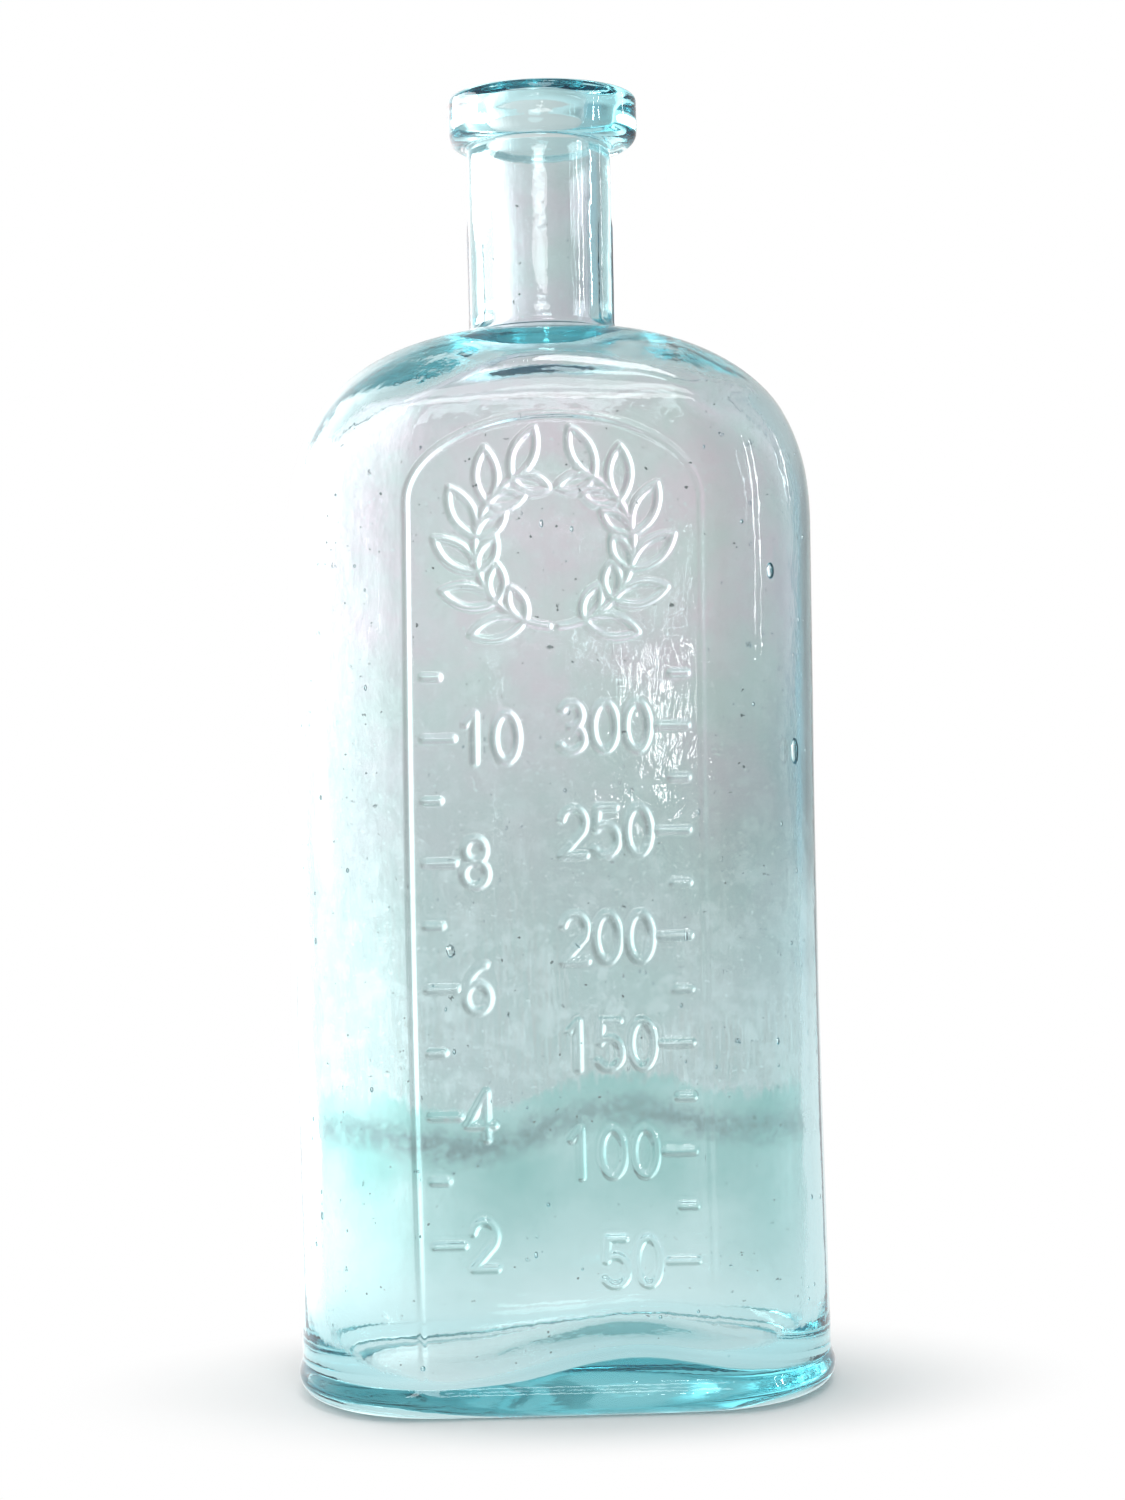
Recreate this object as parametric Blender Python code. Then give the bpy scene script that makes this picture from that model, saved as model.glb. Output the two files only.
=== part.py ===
"""Pharmacy bottle: a flat-fronted oval bottle of pale aqua glass, blown in a mould with a cupped
bottom plate, with a lip of separate glass laid round the sheared end of its neck.

Metres, +Z up. The origin is the middle of the resting ring, on the surface that the bottle
stands on, and the flat front with the label plate faces -Y.
"""
import math
from collections import namedtuple

import bmesh
import bpy

# Overall sizes
HEIGHT = 0.2118
WIDTH_AT_BASE = 0.0873
WIDTH_AT_SHOULDER = 0.0856
DEPTH = 0.0500
FRONT_FLAT_WIDTH = 0.0490
BACK_FLAT_WIDTH = 0.0160

# Walls: blown glass gathers thicker towards the base
WALL_AT_BASE = 0.0042
WALL_AT_SHOULDER = 0.0025
FLOOR_THICKNESS = 0.0052
SHOULDER_THICKNESS = 0.0042

# Foot: a shallow dome under the base, a flat resting ring, a rounded heel and the mould seam over it
KICK_UP = 0.0030
RESTING_RING_WIDTH = 0.0030
HEEL_INSET = 0.0027
HEEL_ROUNDNESS = 0.28
SEAM_HEIGHT = 0.0034
SEAM_PROUD = 0.0006
SEAM_FADE = 0.0030
INSIDE_HEEL_RADIUS = 0.0060

# Shoulder: the sides turn in lower down than the front and back do
SIDE_SHOULDER_START = 0.1400
FACE_SHOULDER_START = 0.1590
SHOULDER_CREST = 0.17325
SHOULDER_CENTRE = 0.0050
SIDE_SHOULDER_POWER = 2.45
FACE_SHOULDER_POWER = 2.2

# Neck and lip. The neck stands a little to one side of the body, as hand-finished necks do
NECK_DIAMETER = 0.0235
NECK_OFFSET = -0.0007
NECK_ROOT_RADIUS = 0.0018
BORE_DIAMETER = 0.0162
MOUTH_DIAMETER = 0.0172
BORE_ROOT_RADIUS = 0.0030
LIP_DIAMETER = 0.0311
LIP_HEIGHT = 0.0082
LIP_COVER = 0.0030
LIP_EDGE_RADIUS = 0.0009
LIP_LOWER_RADIUS = 0.0024
LIP_BEVEL = 0.0005
FIT_GAP = 0.0003

# Label plate: the arched outline that the mould's name plate leaves on the front
PLATE_WIDTH = 0.0460
PLATE_TOP = 0.1573
PLATE_ARCH_RISE = 0.0135
PLATE_SEAM_RADIUS = 0.0008
PLATE_SEAM_PROUD = 0.00035

# Steps of the rings and along the profiles
FRONT_STEPS = 3
CORNER_STEPS = 12
BACK_STEPS = 1
FRONT_ARC = math.radians(19)
BACK_ARC = math.radians(7)
DOME_STEPS = 3
HEEL_STEPS = 5
SEAM_STEPS = 3
WALL_STEPS = 4
SHOULDER_STEPS = 13
ROOT_STEPS = 4
NECK_STEPS = 3
EDGE_STEPS = 3
ARCH_STEPS = 24
SHARP_ANGLE = math.radians(40)

AQUA = (0.60, 0.83, 0.84, 1.0)
GLASS_IOR = 1.52
QUARTER_TURN = math.pi / 2

Ring = namedtuple("Ring", "z half_width half_depth roundness centre")


def clear_scene():
    for obj in list(bpy.data.objects):
        bpy.data.objects.remove(obj, do_unlink=True)


def glass_material(name):
    material = bpy.data.materials.new(name)
    material.use_nodes = True
    shader = material.node_tree.nodes["Principled BSDF"]
    shader.inputs["Base Color"].default_value = AQUA
    shader.inputs["Metallic"].default_value = 0.0
    shader.inputs["Roughness"].default_value = 0.04
    shader.inputs["IOR"].default_value = GLASS_IOR
    shader.inputs["Transmission Weight"].default_value = 1.0
    return material


def smooth_step(share):
    share = min(1.0, max(0.0, share))
    return share * share * (3 - 2 * share)


def half_section(ring):
    """Points from the middle of the front, round the +X side, to the middle of the back. The moulded
    section is a flat front and back joined by quarter ellipses; roundness turns it to an ellipse."""
    width, depth = ring.half_width, ring.half_depth
    flat_front = FRONT_FLAT_WIDTH / WIDTH_AT_SHOULDER * width
    flat_back = BACK_FLAT_WIDTH / WIDTH_AT_SHOULDER * width
    moulded = []
    for step in range(FRONT_STEPS):
        share = step / FRONT_STEPS
        moulded.append((share * flat_front, -depth, share * FRONT_ARC))
    for step in range(CORNER_STEPS):
        share = step / CORNER_STEPS
        turn = share * QUARTER_TURN
        x = flat_front + (width - flat_front) * math.sin(turn)
        moulded.append((x, -depth * math.cos(turn), FRONT_ARC + share * (QUARTER_TURN - FRONT_ARC)))
    for step in range(CORNER_STEPS):
        share = step / CORNER_STEPS
        turn = (1 - share) * QUARTER_TURN
        x = flat_back + (width - flat_back) * math.sin(turn)
        moulded.append((x, depth * math.cos(turn), QUARTER_TURN + share * (QUARTER_TURN - BACK_ARC)))
    for step in range(BACK_STEPS + 1):
        share = 1 - step / BACK_STEPS
        moulded.append((share * flat_back, depth, math.pi - share * BACK_ARC))
    points = []
    for x, y, angle in moulded:
        round_x, round_y = width * math.sin(angle), -depth * math.cos(angle)
        points.append((x + ring.roundness * (round_x - x), y + ring.roundness * (round_y - y)))
    return points


def ring_points(ring):
    """The whole closed section, anticlockwise seen from above."""
    right = half_section(ring)
    left = [(-x, y) for x, y in reversed(right[1:-1])]
    return [(ring.centre + x, y, ring.z) for x, y in right + left]


def loft(name, rings, ends=None):
    """A closed mesh through the rings, in order. With ends, the first and last ring close onto those two
    points; without, the last ring joins the first."""
    mesh_builder = bmesh.new()
    loops = [[mesh_builder.verts.new(point) for point in ring_points(ring)] for ring in rings]
    if ends is None:
        loops.append(loops[0])
    count = len(loops[0])
    for lower, upper in zip(loops, loops[1:]):
        for i in range(count):
            j = (i + 1) % count
            mesh_builder.faces.new((lower[i], lower[j], upper[j], upper[i]))
    if ends is not None:
        first, last = (mesh_builder.verts.new(point) for point in ends)
        for i in range(count):
            j = (i + 1) % count
            mesh_builder.faces.new((first, loops[0][j], loops[0][i]))
            mesh_builder.faces.new((last, loops[-1][i], loops[-1][j]))
    bmesh.ops.recalc_face_normals(mesh_builder, faces=mesh_builder.faces)
    mesh = bpy.data.meshes.new(name)
    mesh_builder.to_mesh(mesh)
    mesh_builder.free()
    mesh.shade_smooth()
    mesh.set_sharp_from_angle(angle=SHARP_ANGLE)
    obj = bpy.data.objects.new(name, mesh)
    bpy.context.scene.collection.objects.link(obj)
    return obj


def wall_half_width(z):
    """Half the body's outside width: the sides run straight from the base to the shoulder."""
    share = min(1.0, z / SIDE_SHOULDER_START)
    return (WIDTH_AT_BASE + share * (WIDTH_AT_SHOULDER - WIDTH_AT_BASE)) / 2


def wall_thickness(z):
    share = min(1.0, z / SIDE_SHOULDER_START)
    return WALL_AT_BASE + share * (WALL_AT_SHOULDER - WALL_AT_BASE)


def superellipse_fall(share, power):
    """1 at share 0 and 0 at share 1, along a quarter of a superellipse."""
    return max(0.0, 1 - share**power) ** (1 / power)


def side_reach(z, outer, crest):
    """Half-width of the shoulder at height z, for a shoulder outer wide and crest high."""
    share = max(0.0, z - SIDE_SHOULDER_START) / (crest - SIDE_SHOULDER_START)
    return SHOULDER_CENTRE + (outer - SHOULDER_CENTRE) * superellipse_fall(share, SIDE_SHOULDER_POWER)


def side_height(half_width, outer, crest):
    """Height at which that shoulder has this half-width."""
    share = (half_width - SHOULDER_CENTRE) / (outer - SHOULDER_CENTRE)
    return SIDE_SHOULDER_START + (crest - SIDE_SHOULDER_START) * superellipse_fall(share, SIDE_SHOULDER_POWER)


def face_reach(z, outer, inner, top):
    """Half-depth of the shoulder at height z: outer up to FACE_SHOULDER_START, inner at the top."""
    share = min(1.0, max(0.0, z - FACE_SHOULDER_START) / (top - FACE_SHOULDER_START))
    return inner + (outer - inner) * superellipse_fall(share, FACE_SHOULDER_POWER)


def shoulder_rings(outer_width, outer_depth, crest, neck_radius, root_radius):
    """Rings from the start of the shoulder up to the neck, the rounded root of the neck included."""
    root_reach = neck_radius + root_radius
    top = side_height(root_reach, outer_width, crest)
    end_turn = math.asin(((top - SIDE_SHOULDER_START) / (crest - SIDE_SHOULDER_START)) ** (SIDE_SHOULDER_POWER / 2))
    rings = []
    for step in range(SHOULDER_STEPS + 1):
        turn = end_turn * step / SHOULDER_STEPS
        z = SIDE_SHOULDER_START + (crest - SIDE_SHOULDER_START) * math.sin(turn) ** (2 / SIDE_SHOULDER_POWER)
        roundness = smooth_step((z - FACE_SHOULDER_START) / (top - FACE_SHOULDER_START))
        width = side_reach(z, outer_width, crest)
        depth = face_reach(z, outer_depth, root_reach, top)
        rings.append(Ring(z, width, depth, roundness, roundness * NECK_OFFSET))
    for step in range(1, ROOT_STEPS + 1):
        turn = QUARTER_TURN * step / ROOT_STEPS
        reach = root_reach - root_radius * math.sin(turn)
        rings.append(Ring(top + root_radius * (1 - math.cos(turn)), reach, reach, 1.0, NECK_OFFSET))
    return rings


def foot_rings():
    """Rings from near the middle of the dome under the base out to the mould seam above the heel."""
    rest_width = WIDTH_AT_BASE / 2 - HEEL_INSET
    rest_depth = DEPTH / 2 - HEEL_INSET
    rings = []
    for step in range(1, DOME_STEPS + 1):
        share = step / DOME_STEPS
        rings.append(
            Ring(
                KICK_UP * (1 - share**2),
                share * (rest_width - RESTING_RING_WIDTH),
                share * (rest_depth - RESTING_RING_WIDTH),
                HEEL_ROUNDNESS,
                0.0,
            )
        )
    for step in range(HEEL_STEPS + 1):
        turn = QUARTER_TURN * step / HEEL_STEPS
        swell = (HEEL_INSET + SEAM_PROUD) * math.sin(turn)
        height = SEAM_HEIGHT * (1 - math.cos(turn))
        roundness = HEEL_ROUNDNESS * (1 - smooth_step(step / HEEL_STEPS))
        rings.append(Ring(height, rest_width + swell, rest_depth + swell, roundness, 0.0))
    return rings


def wall_rings():
    """Rings from just above the mould seam, where its swell fades, to just below the shoulder."""
    rings = []
    for step in range(1, SEAM_STEPS + 1):
        share = step / SEAM_STEPS
        z = SEAM_HEIGHT + share * SEAM_FADE
        swell = SEAM_PROUD * (1 - smooth_step(share))
        rings.append(Ring(z, wall_half_width(z) + swell, DEPTH / 2 + swell, 0.0, 0.0))
    foot = SEAM_HEIGHT + SEAM_FADE
    for step in range(1, WALL_STEPS):
        z = foot + (SIDE_SHOULDER_START - foot) * step / WALL_STEPS
        rings.append(Ring(z, wall_half_width(z), DEPTH / 2, 0.0, 0.0))
    return rings


def inside_rings(neck_end):
    """Rings down the inside: the bore, the shoulder, the wall, the rounded heel and the floor."""
    bore = BORE_DIAMETER / 2
    shoulder = shoulder_rings(
        WIDTH_AT_SHOULDER / 2 - WALL_AT_SHOULDER,
        DEPTH / 2 - WALL_AT_SHOULDER,
        SHOULDER_CREST - SHOULDER_THICKNESS,
        bore,
        BORE_ROOT_RADIUS,
    )
    bore_foot = shoulder[-1].z
    rings = []
    for step in range(NECK_STEPS):
        share = step / NECK_STEPS
        radius = MOUTH_DIAMETER / 2 + share * (bore - MOUTH_DIAMETER / 2)
        rings.append(Ring(neck_end + share * (bore_foot - neck_end), radius, radius, 1.0, NECK_OFFSET))
    rings += reversed(shoulder)
    floor_edge = FLOOR_THICKNESS + INSIDE_HEEL_RADIUS
    for step in range(1, WALL_STEPS + 1):
        z = SIDE_SHOULDER_START + (floor_edge - SIDE_SHOULDER_START) * step / WALL_STEPS
        wall = wall_thickness(z)
        rings.append(Ring(z, wall_half_width(z) - wall, DEPTH / 2 - wall, 0.0, 0.0))
    side, face = rings[-1].half_width, rings[-1].half_depth
    for step in range(1, HEEL_STEPS + 1):
        turn = QUARTER_TURN * step / HEEL_STEPS
        inset = INSIDE_HEEL_RADIUS * (1 - math.cos(turn))
        z = floor_edge - INSIDE_HEEL_RADIUS * math.sin(turn)
        roundness = HEEL_ROUNDNESS * step / HEEL_STEPS
        rings.append(Ring(z, side - inset, face - inset, roundness, 0.0))
    side, face = rings[-1].half_width, rings[-1].half_depth
    for step in range(DOME_STEPS - 1, 0, -1):
        share = step / DOME_STEPS
        z = FLOOR_THICKNESS + KICK_UP * (1 - share**2)
        rings.append(Ring(z, share * side, share * face, HEEL_ROUNDNESS, 0.0))
    return rings


def blown_body():
    """The body and neck, blown as one piece: the outside from the base up, then down the inside."""
    neck_end = HEIGHT - LIP_COVER
    outside = foot_rings() + wall_rings()
    outside += shoulder_rings(
        WIDTH_AT_SHOULDER / 2, DEPTH / 2, SHOULDER_CREST, NECK_DIAMETER / 2, NECK_ROOT_RADIUS
    )
    neck_root, neck_radius = outside[-1].z, NECK_DIAMETER / 2
    for step in range(1, NECK_STEPS + 1):
        z = neck_root + (neck_end - neck_root) * step / NECK_STEPS
        outside.append(Ring(z, neck_radius, neck_radius, 1.0, NECK_OFFSET))
    ends = ((0.0, 0.0, KICK_UP), (0.0, 0.0, FLOOR_THICKNESS + KICK_UP))
    return loft("blown_body", outside + inside_rings(neck_end), ends)


def plate_seam_points():
    """The label plate's outline on the front: up one side, over the arch and down the other."""
    half_width = PLATE_WIDTH / 2
    spring = PLATE_TOP - PLATE_ARCH_RISE
    outline = [(-half_width, SEAM_HEIGHT)]
    for step in range(ARCH_STEPS + 1):
        turn = math.pi * step / ARCH_STEPS
        outline.append((-half_width * math.cos(turn), spring + PLATE_ARCH_RISE * math.sin(turn)))
    outline.append((half_width, SEAM_HEIGHT))
    return outline


def raise_plate_seam(body):
    """Joins to the body the fine rounded seam that the mould's name plate leaves round its edge."""
    curve = bpy.data.curves.new("plate_seam", "CURVE")
    curve.dimensions = "3D"
    curve.bevel_depth = PLATE_SEAM_RADIUS
    curve.bevel_resolution = 1
    curve.use_fill_caps = True
    outline = plate_seam_points()
    spline = curve.splines.new("POLY")
    spline.points.add(len(outline) - 1)
    y = -DEPTH / 2 + PLATE_SEAM_RADIUS - PLATE_SEAM_PROUD
    for point, (x, z) in zip(spline.points, outline):
        point.co = (x, y, z, 1.0)
    guide = bpy.data.objects.new("plate_seam_guide", curve)
    bpy.context.scene.collection.objects.link(guide)
    bpy.context.view_layer.update()
    mesh = bpy.data.meshes.new_from_object(guide.evaluated_get(bpy.context.evaluated_depsgraph_get()))
    bpy.data.objects.remove(guide, do_unlink=True)
    bead = bpy.data.objects.new("plate_seam_bead", mesh)
    bpy.context.scene.collection.objects.link(bead)
    weld_caps(mesh)
    bead.hide_render = True
    bead.display_type = "WIRE"
    union = body.modifiers.new("plate_seam", "BOOLEAN")
    union.operation = "UNION"
    union.solver = "EXACT"
    union.object = bead


def weld_caps(mesh):
    """Joins a tube's filled ends to its side, which a curve leaves apart, and turns its faces out."""
    mesh_builder = bmesh.new()
    mesh_builder.from_mesh(mesh)
    bmesh.ops.remove_doubles(mesh_builder, verts=mesh_builder.verts, dist=1e-6)
    bmesh.ops.recalc_face_normals(mesh_builder, faces=mesh_builder.faces)
    mesh_builder.to_mesh(mesh)
    mesh_builder.free()


def applied_lip():
    """The ring of glass round the neck's sheared end: its bore, its top, the rounded outside and the
    skirt that laps down over the neck."""
    mouth, lip = MOUTH_DIAMETER / 2, LIP_DIAMETER / 2
    seat = HEIGHT - LIP_COVER + FIT_GAP
    foot = HEIGHT - LIP_HEIGHT
    inside_skirt = NECK_DIAMETER / 2 + FIT_GAP
    skirt_foot = inside_skirt + LIP_BEVEL

    def circle(z, radius, share):
        """share 0 is centred on the neck, and 1 on the lip."""
        return Ring(z, radius, radius, 1.0, NECK_OFFSET * (1 - share))

    rings = [circle(seat, mouth, 0.0)]
    for step in range(EDGE_STEPS + 1):
        turn = QUARTER_TURN * step / EDGE_STEPS
        rise, set_back = LIP_EDGE_RADIUS * math.sin(turn), LIP_EDGE_RADIUS * (1 - math.cos(turn))
        rings.append(circle(HEIGHT - LIP_EDGE_RADIUS + rise, mouth + set_back, 0.0))
    for step in range(EDGE_STEPS + 1):
        turn = QUARTER_TURN * step / EDGE_STEPS
        fall, swell = LIP_EDGE_RADIUS * (1 - math.cos(turn)), LIP_EDGE_RADIUS * math.sin(turn)
        rings.append(circle(HEIGHT - fall, lip - LIP_EDGE_RADIUS + swell, 1.0))
    for step in range(HEEL_STEPS + 1):
        turn = QUARTER_TURN * step / HEEL_STEPS
        fall, set_back = LIP_LOWER_RADIUS * math.sin(turn), LIP_LOWER_RADIUS * (1 - math.cos(turn))
        rings.append(circle(foot + LIP_LOWER_RADIUS - fall, lip - set_back, 1.0))
    rings.append(circle(foot, skirt_foot, 0.0))
    rings.append(circle(foot + LIP_BEVEL, inside_skirt, 0.0))
    rings.append(circle(seat, inside_skirt, 0.0))
    return loft("applied_lip", rings)


def main():
    clear_scene()
    body = blown_body()
    raise_plate_seam(body)
    body.data.materials.append(glass_material("body_glass"))
    lip = applied_lip()
    lip.data.materials.append(glass_material("lip_glass"))


main()
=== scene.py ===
"""The looks of a pharmacy bottle: one unbroken shell of old aqua glass, from the dished base up over
the lip and down the inside, with the mould's marks in relief, ripples, seeds and a hazed inside.

Metres, +Z up. The flat front with the label plate faces -Y. It stands in for both CAD nodes, because
the real lip is fused to the neck with no surface between them.
"""
import math
from collections import namedtuple

import bmesh
import bpy
import numpy as np
from mathutils import Matrix, Vector, kdtree, noise


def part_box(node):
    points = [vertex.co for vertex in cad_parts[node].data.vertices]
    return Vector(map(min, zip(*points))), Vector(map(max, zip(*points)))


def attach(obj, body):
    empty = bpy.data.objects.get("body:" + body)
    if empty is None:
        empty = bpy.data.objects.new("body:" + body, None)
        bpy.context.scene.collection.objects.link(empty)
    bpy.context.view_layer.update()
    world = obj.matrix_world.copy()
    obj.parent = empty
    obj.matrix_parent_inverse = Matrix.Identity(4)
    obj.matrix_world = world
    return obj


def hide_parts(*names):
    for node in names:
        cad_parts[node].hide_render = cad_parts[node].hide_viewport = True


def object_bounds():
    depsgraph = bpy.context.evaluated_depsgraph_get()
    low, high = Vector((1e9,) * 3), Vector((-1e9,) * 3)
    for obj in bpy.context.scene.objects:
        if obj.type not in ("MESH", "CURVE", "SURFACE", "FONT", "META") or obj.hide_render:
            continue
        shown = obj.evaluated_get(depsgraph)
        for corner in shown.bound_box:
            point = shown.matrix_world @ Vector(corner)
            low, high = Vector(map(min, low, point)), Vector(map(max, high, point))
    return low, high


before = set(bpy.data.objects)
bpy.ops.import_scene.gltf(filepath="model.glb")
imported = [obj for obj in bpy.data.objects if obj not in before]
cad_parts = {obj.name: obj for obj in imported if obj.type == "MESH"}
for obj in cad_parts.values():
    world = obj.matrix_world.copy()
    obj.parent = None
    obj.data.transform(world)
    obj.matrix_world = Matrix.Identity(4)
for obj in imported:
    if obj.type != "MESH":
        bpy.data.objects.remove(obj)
cad_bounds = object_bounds()
lip_low, lip_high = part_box("applied_lip")

QUARTER_TURN = math.pi / 2
TOLERANCE = 1e-5
TINY = 1e-12

# Sizes shared with the CAD
HEIGHT = lip_high.z
WIDTH_AT_BASE = 0.0873
WIDTH_AT_SHOULDER = 0.0856
DEPTH = 0.0500
FRONT_FLAT_WIDTH = 0.0490
BACK_FLAT_WIDTH = 0.0160
WALL_AT_BASE = 0.0042
WALL_AT_SHOULDER = 0.0025
FLOOR_THICKNESS = 0.0052
SHOULDER_THICKNESS = 0.0042
KICK_UP = 0.0030
RESTING_RING_WIDTH = 0.0030
HEEL_INSET = 0.0027
HEEL_ROUNDNESS = 0.28
SEAM_HEIGHT = 0.0034
SEAM_PROUD = 0.0006
SEAM_FADE = 0.0030
INSIDE_HEEL_RADIUS = 0.0060
INSIDE_HEEL_RISE = 0.0130
SIDE_SHOULDER_START = 0.1400
FACE_SHOULDER_START = 0.1590
SHOULDER_CREST = 0.17325
SHOULDER_CENTRE = 0.0050
SIDE_SHOULDER_POWER = 2.45
FACE_SHOULDER_POWER = 2.2
NECK_DIAMETER = 0.0235
NECK_OFFSET = -0.0007
NECK_ROOT_RADIUS = 0.0018
BORE_DIAMETER = 0.0162
MOUTH_DIAMETER = 0.0172
BORE_ROOT_RADIUS = 0.0088
LIP_DIAMETER = lip_high.x - lip_low.x
LIP_FOOT = lip_low.z
LIP_EDGE_RADIUS = 0.0009
LIP_LOWER_RADIUS = 0.0024
LIP_JOIN_RADIUS = 0.0008
MOUTH_ROUNDING = 0.0032
PLATE_WIDTH = 0.0460
PLATE_TOP = 0.1573
PLATE_ARCH_RISE = 0.0135

# How steeply the curves run
DOME_POWER = 1.3
SEAM_FADE_RATE = 1.15
BORE_HAZE_RATE = 2.5

# Steps round a ring, and the turns that the flats take up where a ring is round
FRONT_STEPS = 13
CORNER_STEPS = 16
BACK_STEPS = 4
SEAM_HALF_WIDTH_SHARE = 0.03
FRONT_ARC = math.radians(19)
BACK_ARC = math.radians(7)

# Steps up the outside
DOME_STEPS = 14
HEEL_STEPS = 10
SEAM_STEPS = 7
SHOULDER_STEPS = 22
ROOT_STEPS = 6
NECK_STEPS = 16
LIP_JOIN_STEPS = 5
LIP_LOWER_STEPS = 9
LIP_BAND_STEPS = 6
LIP_EDGE_STEPS = 6
LIP_TOP_STEPS = 4
MOUTH_STEPS = 10

# Steps down the inside
BORE_STEPS = 18
INSIDE_SHOULDER_STEPS = 16
INSIDE_SIDE_STEPS = 6
INSIDE_WALL_STEPS = 44
INSIDE_HEEL_STEPS = 16
HOLLOW_FLOOR_STEPS = 12

# The cells of the front panel, which are cut finer for the relief
PANEL_CELL = 0.0019
PANEL_CUTS = 7
PANEL_FOOT = SEAM_HEIGHT + SEAM_FADE

Ring = namedtuple("Ring", "z half_width half_depth roundness centre inside")


def smooth_step(share):
    share = min(1.0, max(0.0, share))
    return share * share * (3 - 2 * share)


def steps(count, start=0):
    """Shares of the way along, from start/count to 1."""
    return [step / count for step in range(start, count + 1)]


def half_section(ring):
    """Points from the middle of the front, round the +X side, to the middle of the back: a flat front and
    back joined by quarter ellipses, which roundness turns into an ellipse."""
    width, depth = ring.half_width, ring.half_depth
    flat_front = FRONT_FLAT_WIDTH / WIDTH_AT_SHOULDER * width
    flat_back = BACK_FLAT_WIDTH / WIDTH_AT_SHOULDER * width
    corner = steps(CORNER_STEPS)[:-1] + [1 - SEAM_HALF_WIDTH_SHARE, 1.0]
    moulded = []
    for share in steps(FRONT_STEPS)[:-1]:
        moulded.append((share * flat_front, -depth, share * FRONT_ARC))
    for share in corner:
        turn = share * QUARTER_TURN
        x = flat_front + (width - flat_front) * math.sin(turn)
        moulded.append((x, -depth * math.cos(turn), FRONT_ARC + share * (QUARTER_TURN - FRONT_ARC)))
    for share in reversed(corner[:-1]):
        turn = share * QUARTER_TURN
        x = flat_back + (width - flat_back) * math.sin(turn)
        moulded.append((x, depth * math.cos(turn), math.pi - BACK_ARC - share * (QUARTER_TURN - BACK_ARC)))
    for share in reversed(steps(BACK_STEPS)[:-1]):
        moulded.append((share * flat_back, depth, math.pi - share * BACK_ARC))
    points = []
    for x, y, angle in moulded:
        round_x, round_y = width * math.sin(angle), -depth * math.cos(angle)
        points.append((x + ring.roundness * (round_x - x), y + ring.roundness * (round_y - y)))
    return points


def ring_points(ring):
    right = half_section(ring)
    left = [(-x, y) for x, y in reversed(right[1:-1])]
    return [(ring.centre + x, y, ring.z) for x, y in right + left]


def wall_half_width(z):
    share = min(1.0, z / SIDE_SHOULDER_START)
    return (WIDTH_AT_BASE + share * (WIDTH_AT_SHOULDER - WIDTH_AT_BASE)) / 2


def wall_thickness(z):
    share = min(1.0, z / SIDE_SHOULDER_START)
    return WALL_AT_BASE + share * (WALL_AT_SHOULDER - WALL_AT_BASE)


def superellipse_fall(share, power):
    return max(0.0, 1 - share**power) ** (1 / power)


def shoulder_rings(
    outer_width, outer_depth, crest, neck_radius, root_radius, inside, low_steps, high_steps
):
    """Rings from the start of the shoulder up to the neck, with the rounded root of the neck."""
    root_reach = neck_radius + root_radius
    rise = crest - SIDE_SHOULDER_START
    root_share = (root_reach - SHOULDER_CENTRE) / (outer_width - SHOULDER_CENTRE)
    top = SIDE_SHOULDER_START + rise * superellipse_fall(root_share, SIDE_SHOULDER_POWER)
    side_rise = FACE_SHOULDER_START - SIDE_SHOULDER_START
    heights = [SIDE_SHOULDER_START + share * side_rise for share in low_steps]
    for share in high_steps:
        heights.append(FACE_SHOULDER_START + (top - FACE_SHOULDER_START) * math.sin(share * QUARTER_TURN))
    rings = []
    for z in heights:
        side = SHOULDER_CENTRE + (outer_width - SHOULDER_CENTRE) * superellipse_fall(
            (z - SIDE_SHOULDER_START) / rise, SIDE_SHOULDER_POWER
        )
        share = min(1.0, max(0.0, z - FACE_SHOULDER_START) / (top - FACE_SHOULDER_START))
        face = root_reach + (outer_depth - root_reach) * superellipse_fall(share, FACE_SHOULDER_POWER)
        roundness = smooth_step(share)
        rings.append(Ring(z, max(side, root_reach), face, roundness, roundness * NECK_OFFSET, inside))
    for share in steps(ROOT_STEPS, 1):
        turn = QUARTER_TURN * share
        reach = root_reach - root_radius * math.sin(turn)
        rings.append(Ring(top + root_radius * (1 - math.cos(turn)), reach, reach, 1.0, NECK_OFFSET, inside))
    return rings


def foot_rings():
    """The dome under the base, the resting ring, the heel and the swell of the mould's bottom plate."""
    rest_width = WIDTH_AT_BASE / 2 - HEEL_INSET
    rest_depth = DEPTH / 2 - HEEL_INSET
    rings = []
    for share in steps(DOME_STEPS, 1):
        width = share * (rest_width - RESTING_RING_WIDTH)
        depth = share * (rest_depth - RESTING_RING_WIDTH)
        height = KICK_UP * (1 - share**2) ** DOME_POWER
        rings.append(Ring(height, width, depth, HEEL_ROUNDNESS, 0.0, 0.0))
    for share in steps(HEEL_STEPS):
        turn = QUARTER_TURN * share
        swell = (HEEL_INSET + SEAM_PROUD) * math.sin(turn)
        height = SEAM_HEIGHT * (1 - math.cos(turn))
        roundness = HEEL_ROUNDNESS * (1 - smooth_step(share))
        rings.append(Ring(height, rest_width + swell, rest_depth + swell, roundness, 0.0, 0.0))
    for share in steps(SEAM_STEPS, 1):
        z = SEAM_HEIGHT + share * SEAM_FADE
        swell = SEAM_PROUD * (1 - smooth_step(SEAM_FADE_RATE * share))
        rings.append(Ring(z, wall_half_width(z) + swell, DEPTH / 2 + swell, 0.0, 0.0, 0.0))
    return rings


def panel_shares(low, high):
    """Even steps of about one panel cell between two heights, as shares."""
    return steps(round((high - low) / PANEL_CELL), 1)


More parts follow.
